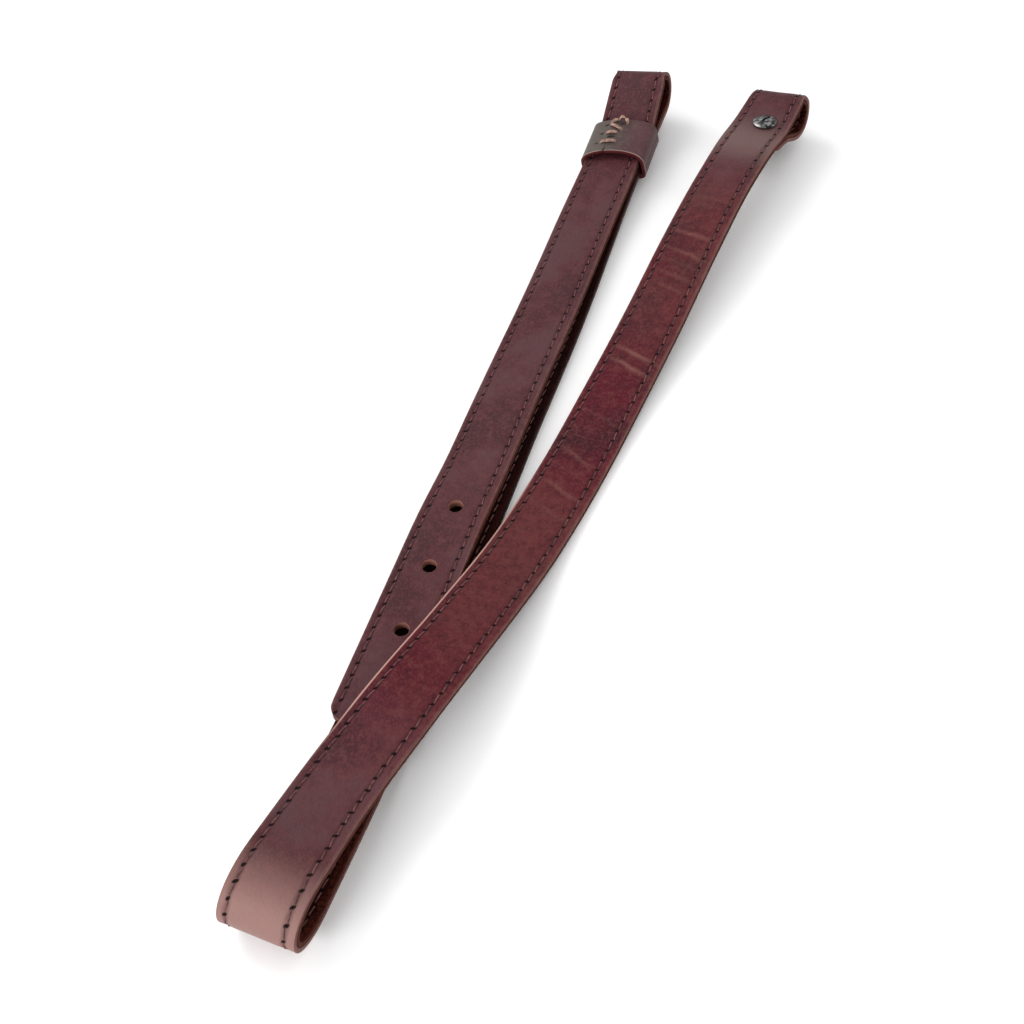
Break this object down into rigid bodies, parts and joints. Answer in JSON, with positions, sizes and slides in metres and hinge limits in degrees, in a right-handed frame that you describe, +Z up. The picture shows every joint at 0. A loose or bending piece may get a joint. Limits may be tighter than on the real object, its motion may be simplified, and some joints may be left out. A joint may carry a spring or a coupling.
{
  "type": "sling strap",
  "caption": "Doubled leather sling strap lying folded in a narrow V, with an end loop closed by a screw, an end loop held by a keeper sleeve and a punched tail.",
  "frame": {"origin": "on the surface it lies on, under the middle of its footprint", "axes": "+Y from the fold to the two end loops, +Z up, +X to the half whose loop is closed by the screw"},
  "size_m": [0.0952, 0.4644, 0.0306],
  "materials": {
    "leather": "oiled burgundy brown grain leather, mottled, half gloss",
    "lining": "dull reddish brown flesh side, fibrous",
    "sleeve": "dark grey brown oiled leather",
    "screw": "blackened steel, polished"
  },
  "bodies": {
    "root": {"strap_face": "leather", "strap_lining": "lining", "keeper": "sleeve", "screw_post": "screw", "screw_head": "screw"}
  },
  "joints": []
}
